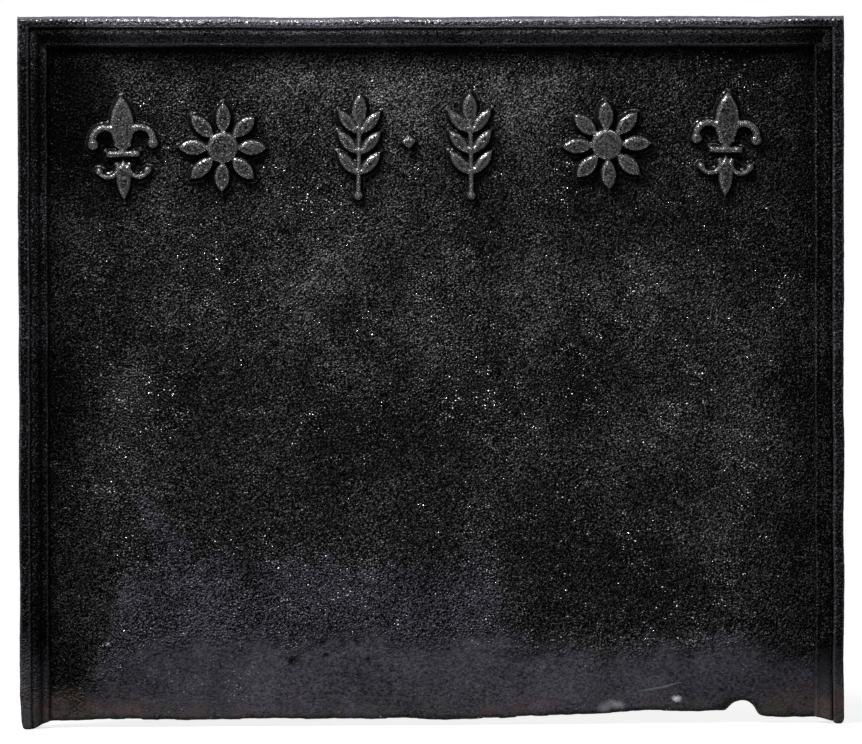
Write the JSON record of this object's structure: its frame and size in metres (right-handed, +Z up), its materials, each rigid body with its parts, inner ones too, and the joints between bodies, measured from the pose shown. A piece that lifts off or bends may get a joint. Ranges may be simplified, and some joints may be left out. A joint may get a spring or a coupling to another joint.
{
  "type": "fireback",
  "caption": "Cast-iron fireback: a flat plate with a raised rim and stepped moulding on three sides, and a row of raised ornaments below its top edge.",
  "frame": {"origin": "bottom centre of the casting, on the hearth, halfway through its depth", "axes": "+Z up, +X to the right as the face is seen, +Y towards the chimney wall; the face looks along -Y"},
  "size_m": [0.764, 0.034, 0.657],
  "materials": {
    "plate_iron": "sand-cast, blackleaded and polished, with a bluish heat-burnt foot",
    "border_iron": "sand-cast, blackleaded, edges worn bright along the top",
    "ornament_iron": "sand-cast, blackleaded, high places polished"
  },
  "bodies": {
    "root": {"plate": "plate_iron", "top_rim": "border_iron", "left_rim": "border_iron", "right_rim": "border_iron", "top_moulding": "border_iron", "left_moulding": "border_iron", "right_moulding": "border_iron", "left_fleur": "ornament_iron", "left_rosette": "ornament_iron", "left_sprig": "ornament_iron", "lozenge": "ornament_iron", "right_sprig": "ornament_iron", "right_rosette": "ornament_iron", "right_fleur": "ornament_iron"}
  },
  "joints": []
}
